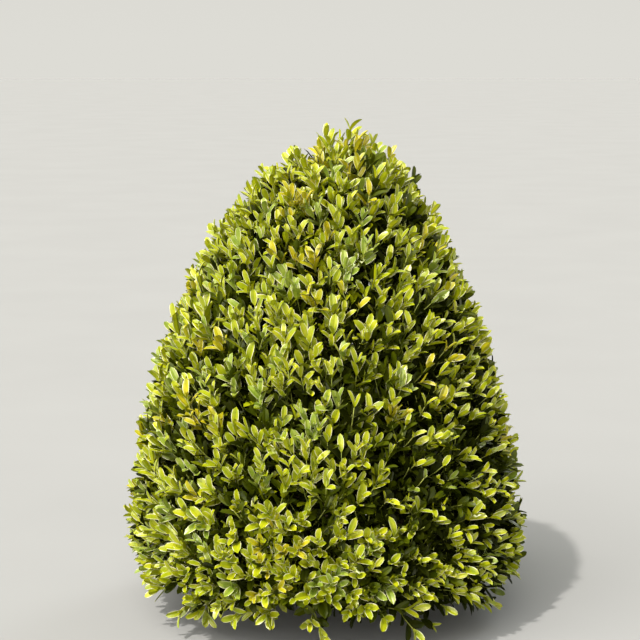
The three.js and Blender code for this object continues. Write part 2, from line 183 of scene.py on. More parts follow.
# How far the sprays' tips lie from the outline: a little short, ragged, and here and there proud of it.
SHORT_OF_OUTLINE = 0.002
RAGGED = 0.006
PROUD_SHARE = 0.12
PROUD = 0.010
LOWEST_LEAF_Z = 0.004
# The crown bulges in slow waves. Each has its waves round the crown, radians down the outline, and phase.
BULGE = 0.005
BULGE_WAVES = ((3, 9, 0.6), (5, -14, 2.1), (8, 23, 0))

# Shoots grow out of the crown and up, and bend upwards; below RISE_FULL_Z they do so less. Down to
# UPRIGHT_SHARE of the outline they stand more upright.
SHOOT_OUT = 0.6
SHOOT_RISE = 0.9
RISE_FULL_Z = 0.190
SHOOT_JITTER = 0.4
UPRIGHT_SHARE = 0.1
SHOOT_BEND = 6.5
LEAST_BEND = 0.8

# Growth is oldest on one side. It ages from the tip down to AGED_SHARE of the outline, and on the other
# sides to LOW_AGE at most. Where it is old, fewer sprays are young and leaves take darker tints, partly
# older leaves and partly painted shade on the side turned from the key light; shoots and leaves lie flatter.
OLDEST_AZIMUTH = math.radians(-30)
AGE_FALLOFF = 2.3
AGED_SHARE = 0.62
LOW_AGE = 0.24
OLD_RISE = 0.45
OLD_BEND = 0.35
OLD_FACE_OUT = 0.1

# Leaves stand in crossed pairs, closest together and most upright at a shoot's tip.
MAIN_PAIRS = 6
SIDE_PAIRS = 4
INTERNODE = 0.0096
INTERNODE_GROWTH = 0.15
FIRST_PAIR_AT = 0.002
PAIR_ANGLES = (0.34, 0.47, 0.62, 0.78, 0.92, 1.05)
PAIR_SIZES = (0.84, 1.0, 1.02, 1.0, 0.95, 0.9)
BUD_ANGLE = 0.12
BUD_SIZE = 0.36
BUD_CHANCE = 0.55
LEAF_LENGTH = 0.0245
LEAF_WIDTH = 0.385
LEAF_ROLL_SPREAD = 0.15
LEAF_ANGLE_RANGE = (0.78, 1.22)
LEAF_SIZE_RANGE = (0.78, 1.14)
LEAF_BREADTH_RANGE = (0.88, 1.12)
LEAF_FOLD_RANGE = (0.5, 1.6)
LEAF_CURL = 0.11
LEAF_CURL_SPREAD = 0.13
# The part of its length that a curled leaf may hang lower than its ends.
LEAF_HANG = 0.2
# A leaf's face turns towards the light, out of the crown and up.
FACE_OUT = 0.75
FACE_UP = 0.65
FACE_LIGHT = 0.7
FACE_SPREAD = 0.3

# A blade's outline and cross-section. Its rows of points crowd towards the tip. Its halves rise from the
# midrib by FOLD_RISE and ease off towards the rim by FOLD_EASE.
WIDEST_POWER = 0.68
TIP_POWER = 0.46
ROW_CROWDING = 1.35
FOLD_RISE = 0.85
FOLD_EASE = 0.42
TIP_LIFT = 0.05
RIM = 0.86
# Rows of points and their places across the half width, from the outer leaves' blades to the innermost.
BLADES = ((4, (-1, -RIM, 0, RIM, 1)), (3, (-1, 0, 1)), (2, (-1, 0, 1)))

# Numbers of the materials in their lists: the tints of leaves, and those of wood.
FRESH, MID, GOLD, PALE, DEEP_SHADE_TINT, SHADE, RIM_AND_HIGHLIGHT_TINT = range(7)
BARK, GREEN = range(2)

# A leaf's level counts the pairs over it, and LAYER_LEVELS for each layer of shoots outside its own. Past
# the young levels leaves darken to deep and then to shade, painted shade for lying deeper in the crown, and
# from BLADE_LEVELS on they are simpler.
LAYER_LEVELS = 2
YOUNG_LEVELS = 2
OLD_YOUNG_LEVELS = 1
TOP_YOUNG_LEVELS = 3
DEEP_SHADE_BELOW = 2
SHADE_BELOW = 3
BLADE_LEVELS = (3, 5)
# How far inside the outline the tips of leaves in the painted-shade tint keep.
SHADE_INSIDE = 0.003
# Shares of the sprays: young ones where growth is oldest, those with light lower leaves, and golden ones.
LEAST_YOUNG = 0.05
YOUNG_LOWS = 0.55
OLD_LOWS = 0.0
TOP_LOWS = 0.55
GOLD_SHARE = 0.05
# Golden sprays are more common at the tip, and less so down to GOLD_FADED of the outline.
GOLD_ADDED_AT_TIP = 0.33
GOLD_FADED = 0.35
# Draws below these give fresh and middle tips. The rest is pale, or of the deep shade tint, painted shade,
# as far as growth is old.
FRESH_UP_TO = 0.55
MID_UP_TO = 0.81
OLD_DARK_TIPS = 0.15

# Leaf materials in the order of the tints: sRGB colour, roughness and specular level.
LEAF_LOOKS = {
    "leaf_fresh": ((154, 161, 12), 0.3, 0.5),
    "leaf_mid": ((144, 153, 10), 0.3, 0.5),
    "leaf_gold": ((168, 161, 18), 0.3, 0.5),
    "leaf_pale": ((131, 148, 44), 0.3, 0.5),
    # The deep and the shade tint are painted shade for leaves lying further inside the crown.
    "leaf_deep_shade": ((61, 70, 2), 0.34, 0.22),
    "leaf_shade": ((29, 34, 1), 0.45, 0.06),
    # The rim tint is a pale margin, partly the leaf's own and partly painted highlight.
    "leaf_rim_and_highlight": ((207, 206, 158), 0.34, 0.6),
}
GREEN_SHOOT_LOOK = ((150, 158, 66), 0.5, 0.4)
# How the red, green and blue of a leaf change in its darker and in its lighter, yellower patches, and
# where the darker, the plain and the lighter colour lie on the noise that makes the patches.
DARK_PATCH = (0.72, 0.80, 0.72)
LIGHT_PATCH = (1.24, 1.14, 1.40)
PATCH_STOPS = (0.32, 0.5, 0.68)
PATCH_SCALE = 95
# A fine grain makes a leaf smoother and rougher than its own roughness. Bumps are strength and distance.
GRAIN_SCALE = 900
SMOOTHER = 0.07
ROUGHER = 0.09
LEAF_BUMP = (0.12, 0.0004)
# Bark materials: darker and lighter sRGB colour, and the scale of their streaks.
STEM_BARK_LOOK = ((82, 68, 50), (150, 132, 104), 160)
TWIG_BARK_LOOK = ((96, 78, 52), (150, 128, 88), 260)
STREAK_STOPS = (0.35, 0.65)
STREAK_DETAIL = 6
CRACK_FINENESS = 4
CRACK_DETAIL = 4
BARK_BUMP = (0.5, 0.0008)
BARK_ROUGHNESS = 0.85

# The floor: its reach from the middle, and its two nearly equal greys with their places on the noise.
FLOOR_REACH = 30
FLOOR_STOPS = ((0.3, (0.286, 0.289, 0.285)), (0.7, (0.296, 0.299, 0.295)))
FLOOR_NOISE_SCALE = 3
FLOOR_ROUGHNESS = 0.9

# Lights: azimuth and elevation that they come from in degrees, strength, width in degrees, and colour.
LIGHTS = {
    "key": (-126, 54, 3.2, 2, (1.0, 0.95, 0.89)),
    "fill": (-128, 36, 4.65, 85, (1.0, 0.965, 0.925)),
    "back": (50, 40, 0.7, 20, (0.92, 0.96, 1.0)),
}
# Colours of the surroundings from the horizon up, at sines of the elevation.
SURROUNDINGS = ((0.0, (0.71, 0.70, 0.65)), (0.06, (0.69, 0.68, 0.63)), (0.35, (0.60, 0.60, 0.54)))

# The camera: a long lens and its sensor in millimetres, and the width that it frames at the plant.
LENS = 100
SENSOR_WIDTH = 36
FRAMED_WIDTH = 0.8
VIEW_ELEVATION = math.radians(9)
AIM = Vector((-0.007, 0, 0.368))
GAMMA = 1.06


def unit(vectors):
    """Rows of an array, scaled to length 1."""
    return vectors / np.maximum(np.linalg.norm(vectors, axis=-1, keepdims=True), TINY)


def aside(vectors, directions):
    """Unit vectors square to directions and nearest to given vectors."""
    return unit(vectors - directions * np.sum(vectors * directions, axis=-1, keepdims=True))


def turned(directions, towards, angles):
    """Directions turned by angles towards unit vectors square to them."""
    return directions * np.cos(angles)[:, None] + towards * np.sin(angles)[:, None]


def square_to(directions, turns):
    """Unit vectors square to directions, turned about them by angles."""
    level = np.cross(directions, UP)
    flat = np.linalg.norm(level, axis=-1) < NEARLY_UPRIGHT
    level[flat] = [1, 0, 0]
    level = unit(level)
    return turned(level, np.cross(directions, level), turns)


def round_axis(azimuths, across, up):
    """Vectors at azimuths, from their parts across and up."""
    return np.column_stack([np.cos(azimuths) * across, np.sin(azimuths) * across, up])


def lengths_along(points):
    """Distances travelled along a path at each of its points."""
    return np.concatenate([[0], np.cumsum(np.linalg.norm(np.diff(points, axis=0), axis=1))])


def angles_round(sides):
    """Angles of the corners of a tube's ring."""
    return np.arange(sides) * 2 * math.pi / sides


def bezier(points, count):
    """Points along quadratic curves, from arrays of start, control and end points."""
    start, control, end = points
    t = np.linspace(0, 1, count)[None, :, None]
    return start[:, None] * (1 - t) ** 2 + control[:, None] * 2 * t * (1 - t) + end[:, None] * t**2


def outline_point(share, inset=0.0):
    """Radius and height of the outline, drawn in by an inset: share 0 is its tip and share 1 its foot."""
    share = np.asarray(share, float)
    radius = CROWN_RADIUS - inset
    angle = np.minimum(share / UPPER_SHARE, 1) * math.pi / 2
    across = radius * np.maximum(0, np.sin(angle)) ** (2 / ROUNDNESS)
    up = WIDEST_Z + (HEIGHT - inset - WIDEST_Z) * np.maximum(0, np.cos(angle)) ** (2 / ROUNDNESS)
    low = np.maximum(share - UPPER_SHARE, 0) / (1 - UPPER_SHARE) * math.pi / 2
    drop = (WIDEST_Z - FOOT_Z - inset) * np.sin(low)
    tucked = across - FOOT_TUCK * (1 - np.cos(low))
    return tucked, np.where(share > UPPER_SHARE, WIDEST_Z - drop, up)


def lean_at(z):
    """How far the crown's axis has leaned over at a height."""
    return TIP_LEAN * (np.maximum(0, z) / HEIGHT) ** LEAN_POWER


def outline_normal(share):
    """The way out of the crown at a share of its outline: outward and up."""
    above = outline_point(np.maximum(0, share - NORMAL_STEP))
    below = outline_point(np.minimum(1, share + NORMAL_STEP))
    return unit(np.stack([above[1] - below[1], below[0] - above[0]], axis=-1))


def even_shares(start, end, count):
    """Shares of the outline at the middles of bands of equal surface, and the surface in all."""
    shares = np.linspace(start, end, OUTLINE_SAMPLES)
    radius, z = outline_point(shares)
    band = np.hypot(np.diff(radius), np.diff(z)) * math.pi * (radius[1:] + radius[:-1])
    areas = np.concatenate([[0], np.cumsum(band)])
    wanted = (np.arange(count) + 0.5) / count * areas[-1]
    return np.interp(wanted, areas, shares), areas[-1]


def split_height(radius):
    """Height of the cone that parts the top mass from the sectors."""
    ring_radius, ring_z = outline_point(SPLIT_SHARE)
    return ring_z + (radius - ring_radius) * SPLIT_SLOPE


def beyond_outline(points):
    """Roughly how far points lie outside the outline, in metres, negative inside."""
    z = points[..., 2]
    radius = np.hypot(points[..., 0] - lean_at(z), points[..., 1])
    rise = np.clip((z - WIDEST_Z) / (HEIGHT - WIDEST_Z), 0, None)
    upper = (rise**ROUNDNESS + (radius / CROWN_RADIUS) ** ROUNDNESS) ** (1 / ROUNDNESS) - 1
    drop = np.clip((WIDEST_Z - z) / (WIDEST_Z - FOOT_Z), 0, 1)
    edge = CROWN_RADIUS - FOOT_TUCK * (1 - np.sqrt(1 - drop**2))
    lower = np.maximum(radius - edge, FOOT_Z - z)
    return np.where(z > WIDEST_Z, upper * CROWN_RADIUS, lower)


def places_on(mass, count, depth, start=0.0):
    """Points spread evenly over a mass's part of the outline, at a depth inside it.

    Their shares of the outline and their azimuths are returned too.
    """
    shares, _ = even_shares(mass["from_share"], mass["to_share"], count)
    turns = (np.arange(count) * GOLDEN + mass["start"] + start) % 1
    azimuths = mass["from"] + (mass["to"] - mass["from"]) * turns
    radius, z = outline_point(shares, depth)
    points = round_axis(azimuths, np.maximum(radius, 0), z)
    points[:, 0] += lean_at(z)
    return points, shares, azimuths


def bulge_at(azimuths, shares):
    """The crown's slow unevenness: how far its surface stands out of the outline there."""
    waves = sum(np.sin(turns * azimuths + falls * shares + phase) for turns, falls, phase in BULGE_WAVES)
    return BULGE * waves / len(BULGE_WAVES)


def age_at(shares, azimuths):
    """How old the growth is at places of the outline, from 0 to 1."""
    facing = np.maximum(0, np.cos(azimuths - OLDEST_AZIMUTH)) ** AGE_FALLOFF
    return np.maximum(LOW_AGE, facing) * np.clip(shares / AGED_SHARE, 0, 1)


def aged(young, old, age):
    """Values between those of young and of old growth."""
    return young + (old - young) * age


def shoot_directions(shares, azimuths, z):
    """The way that shoots grow: out of the crown and up, and less up near its foot."""
    normal = outline_normal(shares)
    rise = SHOOT_RISE * np.clip((z - FOOT_Z - CORE_DEPTH) / RISE_FULL_Z, 0, 1)
    rise *= aged(1, OLD_RISE, age_at(shares, azimuths))
    outward = SHOOT_OUT * (np.minimum(1, shares / UPRIGHT_SHARE) + normal[:, 0])
    return unit(round_axis(azimuths, outward, SHOOT_OUT * normal[:, 1] + rise))


def along_shoot(shoots, at):
    """Points and directions at distances along shoots, which bend upwards."""
    height = np.clip((shoots["root"][:, 2:3] - FOOT_Z) / RISE_FULL_Z, LEAST_BEND, 1)
    height *= aged(1, OLD_BEND, shoots["age"][:, None])
    bend = SHOOT_BEND * height * (UP - shoots["direction"] * shoots["direction"][:, 2:3])
    points = shoots["root"] + shoots["direction"] * at[:, None] + bend * at[:, None] ** 2
    return points, unit(shoots["direction"] + 2 * bend * at[:, None])


def reach_of(shoots):
    """How far it is along each bent shoot to the outline."""
    low = np.zeros(len(shoots["root"]))
    high = np.full(len(low), CROWN_RADIUS / 2)
    for _ in range(HALVINGS):
        middle = (low + high) / 2
        inside = beyond_outline(along_shoot(shoots, middle)[0]) < 0
        low = np.where(inside, middle, low)
        high = np.where(inside, high, middle)
    return low


def chosen(table, mask):
    """The rows of a table of arrays that a mask picks."""
    return {name: values[mask] for name, values in table.items()}


def joined(tables):
    """Tables of arrays with the same names, end to end."""
    return {name: np.concatenate([table[name] for table in tables]) for name in tables[0]}


class Pieces:
    """Faces of one kind, gathered from many small parts, then made into one mesh."""

    def __init__(self):
        self.vertices = []
        self.creased = []
        self.faces = []
        self.materials = []
        self.count = 0

    def add(self, vertices, *groups, creased=False):
        """Adds parts with vertices (n, v, 3).

        Each group is faces (f, k) of one part's vertex numbers, and their material numbers, which may be one
        for all, (n, 1) or (n, f). Edges between creased vertices (v) stay sharp.
        """
        parts, size = vertices.shape[:2]
        offsets = self.count + np.arange(parts) * size
        self.vertices.append(vertices.reshape(-1, 3))
        self.creased.append(np.broadcast_to(creased, (parts, size)).ravel())
        for faces, materials in groups:
            self.faces.append((offsets[:, None, None] + faces[None]).reshape(-1, faces.shape[1]))
            self.materials.append(np.broadcast_to(materials, (parts, len(faces))).ravel())
        self.count += parts * size

    def mesh(self, name, materials):
        """The gathered faces as a smooth mesh object."""
        mesh = bpy.data.meshes.new(name)
        vertices = np.concatenate(self.vertices).astype(np.float32)
        loops = np.concatenate([part.ravel() for part in self.faces]).astype(np.int32)
        sizes = np.concatenate([np.full(len(part), part.shape[1]) for part in self.faces])
        starts = np.concatenate([[0], np.cumsum(sizes)[:-1]]).astype(np.int32)
        mesh.vertices.add(len(vertices))
        mesh.vertices.foreach_set("co", vertices.ravel())
        mesh.loops.add(len(loops))
        mesh.loops.foreach_set("vertex_index", loops)
        mesh.polygons.add(len(sizes))
        mesh.polygons.foreach_set("loop_start", starts)
        mesh.polygons.foreach_set("material_index", np.concatenate(self.materials).astype(np.int32))
        mesh.polygons.foreach_set("use_smooth", np.ones(len(sizes), bool))
        mesh.update(calc_edges=True)
        mesh.validate()
        edges = np.empty(len(mesh.edges) * 2, np.int32)
        mesh.edges.foreach_get("vertices", edges)
        sharp = np.concatenate(self.creased)[edges.reshape(-1, 2)].all(axis=1)
        mesh.edges.foreach_set("use_edge_sharp", sharp)
        for material in materials:
            mesh.materials.append(material)
        piece = bpy.data.objects.new(name, mesh)
        bpy.context.scene.collection.objects.link(piece)
        return piece


def add_tubes(pieces, paths, along, radii, material):
    """Closed tubes round paths (n, s, 3), with rings square to along and radii (n, s, sides)."""
    count, rings, sides = radii.shape
    side = np.repeat(square_to(along[:, 0], np.zeros(count))[:, None], rings, axis=1)
    side = aside(side, along)
    other = np.cross(along, side)
    angles = angles_round(sides)[:, None]
    ring = side[:, :, None] * np.cos(angles) + other[:, :, None] * np.sin(angles)
    vertices = (paths[:, :, None] + ring * radii[..., None]).reshape(count, -1, 3)
    here = np.arange(sides)
    after = (here + 1) % sides
    low = np.arange(rings - 1)[:, None] * sides
    high = low + sides
    walls = np.stack([low + here, low + after, high + after, high + here], axis=-1).reshape(-1, 4)
    ends = np.stack([here[::-1], (rings - 1) * sides + here])
    pieces.add(vertices, (walls, material), (ends, material))


def add_tapering_tubes(pieces, paths, start, end, sides, material):
    """Closed round tubes along paths (n, s, 3), whose radii run from start to end."""
    count, rings = paths.shape[:2]
    radii = np.broadcast_to(np.linspace(start, end, rings)[None, :, None], (count, rings, sides))
    add_tubes(pieces, paths, unit(np.gradient(paths, axis=1)), radii, material)


def blade_shape(rows, across):
    """A leaf blade of length 1: its points, triangles and quads.

    A point is (along, across, lift), with the last two in half widths.
    """
    spread = 1 - (1 - np.arange(1, rows + 1) / (rows + 1)) ** ROW_CROWDING
    peak = WIDEST_POWER / (WIDEST_POWER + TIP_POWER)
    columns = len(across)
    points = [(0, 0, 0)]
    for t in spread:
        width = (t / peak) ** WIDEST_POWER * ((1 - t) / (1 - peak)) ** TIP_POWER
        for u in across:
            points.append((t, u * width, (FOLD_RISE * abs(u) - FOLD_EASE * u * u) * width))
    points.append((1, 0, TIP_LIFT))
    last = len(points) - 1
    triangles = []
    quads = []
    for column in range(columns - 1):
        triangles.append((0, 2 + column, 1 + column))
        end = last - columns + column
        triangles.append((end, end + 1, last))
    for row in range(rows - 1):
        for column in range(columns - 1):
            corner = 1 + row * columns + column
            quads.append((corner, corner + 1, corner + columns + 1, corner + columns))
    return np.array(points), np.array(triangles), np.array(quads)


def face_tints(points, faces, tints):
    """Each leaf's tint on its faces, apart from the narrow ones along a fine blade's rim: on lighter tints
    these are pale, partly the leaf's own margin and partly painted highlight.
    """
    outer = np.abs(points[faces][..., 1]).min(axis=1) > 0
    # Lighter leaves get a pale rim, partly their own margin and partly painted highlight; shaded ones get
    # none.
    rims_and_highlights = np.where(tints < DEEP_SHADE_TINT, RIM_AND_HIGHLIGHT_TINT, tints)
    return np.where(outer[None], rims_and_highlights[:, None], tints[:, None])


def add_leaves(pieces, leaves, rows, across):
    """Leaf blades at their roots, along their directions, faces up and tips curled back."""
    points, triangles, quads = blade_shape(rows, across)
    side = np.cross(leaves["face"], leaves["direction"])
    length = leaves["length"][:, None]
    width = length * LEAF_WIDTH / 2 * leaves["breadth"][:, None]
    curl = leaves["curl"][:, None] * points[:, 0] ** 2 * length
    vertices = (
        leaves["root"][:, None]
        + leaves["direction"][:, None] * (points[:, 0] * length)[..., None]
        + side[:, None] * (points[:, 1] * width)[..., None]
        + leaves["face"][:, None] * (points[:, 2] * width * leaves["fold"][:, None] - curl)[..., None]
    )
    pieces.add(
        vertices,
        (quads, face_tints(points, quads, leaves["tint"])),
        (triangles, leaves["tint"][:, None]),
        creased=points[:, 1] == 0,
    )


def leaf_faces(shoots, natural, direction, rng):
    """The way that leaves face: their natural way, drawn towards the light and square to the leaf."""
    light = unit(shoots["outward"] * aged(FACE_OUT, OLD_FACE_OUT, shoots["age"][:, None]) + UP * FACE_UP)
    face = natural + light * FACE_LIGHT + rng.normal(0, FACE_SPREAD, natural.shape)
    return aside(face, direction)


def levels_of(shoots, pair):
    """How deep in its spray one pair of leaves stands on every shoot."""
    return shoots["layer"] * LAYER_LEVELS + pair


def leaf_tints(shoots, pair):
    """Tints of one pair of leaves on every shoot: its spray's own at the tip, darker with depth as painted
    shade.
    """
    level = levels_of(shoots, pair)
    tints = np.where(level < shoots["young"], shoots["tip_tint"], shoots["low_tint"])
    tints = np.where(level >= shoots["young"] + DEEP_SHADE_BELOW, DEEP_SHADE_TINT, tints)
    return np.where(level >= shoots["young"] + SHADE_BELOW, SHADE, tints)


def pair_leaves(shoots, pair, rng):
    """The two leaves of one crossed pair on every shoot that has it; pair -1 is the bud's."""
    bud = pair < 0
    below = 0 if bud else INTERNODE * pair * (1 + INTERNODE_GROWTH * pair)
    at = shoots["length"] - below * shoots["vigour"]
    has = (shoots["pairs"] > pair) & (at > FIRST_PAIR_AT)
    if bud:
        has &= rng.random(len(at)) < BUD_CHANCE
    shoots = chosen(shoots, has)
    root, axis = along_shoot(shoots, at[has])
    count = len(root)
    across = aside(shoots["across"], axis)
    other = np.cross(axis, across)
    tables = []
    for half in (0, 1):
        roll = pair * math.pi / 2 + half * math.pi + rng.normal(0, LEAF_ROLL_SPREAD, count)
        away = turned(across, other, roll)
        angle = (BUD_ANGLE if bud else PAIR_ANGLES[pair]) * rng.uniform(*LEAF_ANGLE_RANGE, count)
        direction = turned(axis, away, angle)
        face = leaf_faces(shoots, turned(axis, -away, math.pi / 2 - angle), direction, rng)
        size = (BUD_SIZE if bud else PAIR_SIZES[pair]) * rng.uniform(*LEAF_SIZE_RANGE, count)
        tables.append(
            {
                "root": root,
                "direction": direction,
                "face": face,
                "length": LEAF_LENGTH * size * shoots["vigour"],
                "breadth": rng.uniform(*LEAF_BREADTH_RANGE, count),
                "curl": rng.normal(LEAF_CURL, LEAF_CURL_SPREAD, count),
                "fold": rng.uniform(*LEAF_FOLD_RANGE, count),
                "tint": leaf_tints(shoots, pair),
                "blade": np.digitize(levels_of(shoots, pair), BLADE_LEVELS),
            }
        )
    return joined(tables)


def kept_leaves(leaves):
    """The leaves whose tips keep within the crown's reach and above the ground; painted-shade ones stay
    deeper.
    """
    tips = leaves["root"] + leaves["direction"] * leaves["length"][:, None]
    low = np.minimum(tips[:, 2], leaves["root"][:, 2]) - leaves["length"] * LEAF_HANG
    limit = np.where(leaves["tint"] == SHADE, -SHADE_INSIDE, RAGGED)
    return chosen(leaves, (beyond_outline(tips) < limit) & (low > LOWEST_LEAF_Z))


def spray_tints(shares, age, rng):
    """A tint for the young leaves of each spray, one for those below, and how many levels are young."""
    gold = GOLD_SHARE + GOLD_ADDED_AT_TIP * np.clip(1 - shares / GOLD_FADED, 0, 1)
    draw = rng.random(len(shares))
    cases = [draw < FRESH_UP_TO, draw < MID_UP_TO, draw < 1 - OLD_DARK_TIPS * age]
    tips = np.select(cases, [FRESH, MID, PALE], DEEP_SHADE_TINT)
    tips = np.where(rng.random(len(shares)) < gold, GOLD, tips)
    # Old sprays get fewer young levels and darker lower leaves: partly older leaves, partly painted shade on
    # the side turned from the key light.
    old = rng.random(len(shares)) > aged(1, LEAST_YOUNG, age)
    # Towards the tip more sprays have light lower leaves and more young levels, so the top is lighter.
    light_lows = aged(YOUNG_LOWS, OLD_LOWS, age) + TOP_LOWS * np.clip(1 - shares / SPLIT_SHARE, 0, 1)
    lows = np.where(rng.random(len(shares)) < light_lows, MID, DEEP_SHADE_TINT)
    lows = np.where(old, np.where(lows == MID, DEEP_SHADE_TINT, SHADE), lows)
    young = np.where(shares < SPLIT_SHARE, TOP_YOUNG_LEVELS, YOUNG_LEVELS)
    return tips, lows, np.where(old, OLD_YOUNG_LEVELS, young)


def main_shoots(mass, rng):
    """The main shoot of every spray of a mass, from its base out to the outline."""
    base, shares, azimuths = places_on(mass, mass["sprays"], SPRAY_DEPTH)
    count = len(base)
    base = base + rng.normal(0, BASE_SPREAD, (count, 3))
    direction = shoot_directions(shares, azimuths, base[:, 2])
    direction = unit(direction + rng.uniform(-0.5, 0.5, (count, 3)) * SHOOT_JITTER)
    vigour = rng.uniform(*MAIN_VIGOUR_RANGE, count)
    age = age_at(shares, azimuths)
    reach = reach_of({"root": base, "direction": direction, "age": age}) - SHORT_OF_OUTLINE
    reach += bulge_at(azimuths, shares) + rng.normal(0, RAGGED / 2, count)
    reach += np.where(rng.random(count) < PROUD_SHARE, PROUD, 0)
    tip_leaf = LEAF_LENGTH * PAIR_SIZES[0] * math.cos(PAIR_ANGLES[0])
    normal = outline_normal(shares)
    tips, lows, young = spray_tints(shares, age, rng)
    return {
        "root": base,
        "direction": direction,
        "across": square_to(direction, rng.uniform(0, math.pi, count)),
        "length": np.maximum(MAIN_SHORTEST, reach - tip_leaf * vigour),
        "vigour": vigour,
        "pairs": np.full(count, MAIN_PAIRS),
        "outward": round_axis(azimuths, normal[:, 0], normal[:, 1]),
        "age": age,
        "tip_tint": tips,
        "low_tint": lows,
        "young": young,
        "layer": np.zeros(count, int),
    }


def side_shoots(mains, layer, rng):
    """One side shoot on every main shoot: the first reach nearest to the outline, later ones less far."""
    count = len(mains["length"])
    place, angle, depth = SIDE_SHOOTS[layer]
    at = mains["length"] * (place + rng.uniform(0, SIDE_PLACE_MORE, count))
    root, axis = along_shoot(mains, at)
    roll = layer * SIDE_TURN + rng.normal(0, SIDE_TURN_SPREAD, count)
    away = unit(turned(mains["across"], np.cross(axis, mains["across"]), roll))
    rise = SIDE_RISE * aged(1, OLD_RISE, mains["age"][:, None])
    direction = unit(turned(axis, away, angle * rng.uniform(*SIDE_ANGLE_RANGE, count)) + UP * rise)
    reach = reach_of({"root": root, "direction": direction, "age": mains["age"]}) - depth
    reach -= LEAF_LENGTH * mains["vigour"] * SIDE_LEAF_REACH + rng.uniform(0, SIDE_END_MORE, count)
    return {
        "root": root,
        "direction": direction,
        "across": square_to(direction, rng.uniform(0, math.pi, count)),
        "length": np.clip(reach, SIDE_SHORTEST, SIDE_LONGEST),
        "vigour": mains["vigour"] * rng.uniform(*SIDE_VIGOUR_RANGE, count),
        "pairs": np.full(count, SIDE_PAIRS),
        "outward": mains["outward"],
        "age": mains["age"],
        "tip_tint": mains["tip_tint"],
        "low_tint": mains["low_tint"],
        "young": mains["young"],
        "layer": np.full(count, layer),
    }


def heart_shoots(mass, rng):
    """Short shoots with large leaves in the shade tint, painted shade, spread evenly deep in the crown."""
    wanted = round(mass["sprays"] * HEART_SHARE)
    root, shares, azimuths = places_on(mass, wanted, HEART_DEPTH, HEART_START)
    count = len(root)
    direction = shoot_directions(shares, azimuths, root[:, 2])
    direction = unit(direction + rng.normal(0, HEART_SPREAD, (count, 3)))
    return {
        "root": root,
        "direction": direction,
        "across": square_to(direction, rng.uniform(0, math.pi, count)),
        "length": np.full(count, HEART_LENGTH),
        "vigour": np.full(count, HEART_VIGOUR),
        "pairs": np.full(count, HEART_PAIRS),
        "outward": round_axis(azimuths, 1, np.zeros(count)),
        "age": np.zeros(count),
        # Their leaves are painted shade.
        "tip_tint": np.full(count, SHADE),
        "low_tint": np.full(count, SHADE),
        "young": np.zeros(count, int),
        "layer": np.full(count, len(SIDE_SHOOTS)),
    }


def shoot_paths(shoots, steps):
    """Points along shoots from root to tip."""
    rows = [along_shoot(shoots, shoots["length"] * part)[0] for part in np.linspace(0, 1, steps)]
    return np.stack(rows, axis=1)


def grow_mass(mass, seed):
    """Leaves and wood of one mass, as two gatherings of faces."""
    rng = np.random.default_rng(seed)
    leaves, wood = Pieces(), Pieces()
    mains = main_shoots(mass, rng)
    shoots = [mains] + [side_shoots(mains, layer, rng) for layer in range(len(SIDE_SHOOTS))]
    shoots.append(heart_shoots(mass, rng))
    found = []
    for group in shoots:
        most = int(group["pairs"].max())
        found += [pair_leaves(group, pair, rng) for pair in range(-1, most)]
        paths = shoot_paths(group, MAIN_RINGS if group is mains else SIDE_RINGS)
        add_tapering_tubes(wood, paths, SHOOT_RADIUS, SHOOT_TIP_RADIUS, SHOOT_SIDES, GREEN)
    table = kept_leaves(joined(found))
    for blade, (rows, across) in enumerate(BLADES):
        add_leaves(leaves, chosen(table, table["blade"] == blade), rows, across)
    grow_branches(wood, mass, mains, rng)
    return leaves, wood


def grow_branches(wood, mass, mains, rng):
    """A mass's own stem, branches from its fork, and twigs from their ends to the sprays."""
    ends, _, _ = places_on(mass, mass["branches"], BRANCH_DEPTH, BRANCH_START)
    fork = np.repeat(mass["fork"][None], len(ends), axis=0)
    middle = (fork + ends) / 2 * [BRANCH_SWING, BRANCH_SWING, 1]
    middle[:, 2] -= BRANCH_SAG * np.abs(ends[:, 2] - fork[:, 2]) + BRANCH_LEAST_SAG
    paths = bezier((fork, middle, ends), BRANCH_RINGS)
    paths[:, 1:-1] += rng.normal(0, BRANCH_WOBBLE, paths[:, 1:-1].shape)
    add_tapering_tubes(wood, paths, BRANCH_RADIUS, BRANCH_TIP_RADIUS, BRANCH_SIDES, BARK)
    gaps = np.linalg.norm(mains["root"][:, None] - ends[None], axis=-1)
    nearest = ends[np.argmin(gaps, axis=1)]
    control = mains["root"] - mains["direction"] * np.min(gaps, axis=1)[:, None] / 2
    paths = bezier((nearest, control, mains["root"]), TWIG_RINGS)
    add_tapering_tubes(wood, paths, TWIG_RADIUS, SHOOT_RADIUS, TWIG_SIDES, BARK)
    path = np.linspace(mass["stem"], mass["fork"], MASS_STEM_RINGS)[None]
    add_tapering_tubes(wood, path, mass["stem_radius"], FORK_RADIUS, MASS_STEM_SIDES, BARK)


def new_material(name):
    """A material with its nodes, links and shader."""
    material = bpy.data.materials.new(name)
    material.use_nodes = True
    nodes, links = material.node_tree.nodes, material.node_tree.links
    return material, nodes, links, nodes["Principled BSDF"]


def noise(nodes, links, scale, detail=2.0):
    """A noise texture in object coordinates."""
    coordinates = nodes.new("ShaderNodeTexCoord")
    texture = nodes.new("ShaderNodeTexNoise")
    texture.inputs["Scale"].default_value = scale
    texture.inputs["Detail"].default_value = detail
    links.new(coordinates.outputs["Object"], texture.inputs["Vector"])
    return texture.outputs["Fac"]


def ramp(nodes, links, factor, stops):
    """A colour ramp from a factor, with (place, colour) stops."""
    node = nodes.new("ShaderNodeValToRGB")
    elements = node.color_ramp.elements
    elements[0].position, elements[0].color = stops[0][0], (*stops[0][1], 1)
    elements[1].position, elements[1].color = stops[-1][0], (*stops[-1][1], 1)
    for place, colour in stops[1:-1]:
        elements.new(place).color = (*colour, 1)
    links.new(factor, node.inputs["Fac"])
    return node.outputs["Color"]


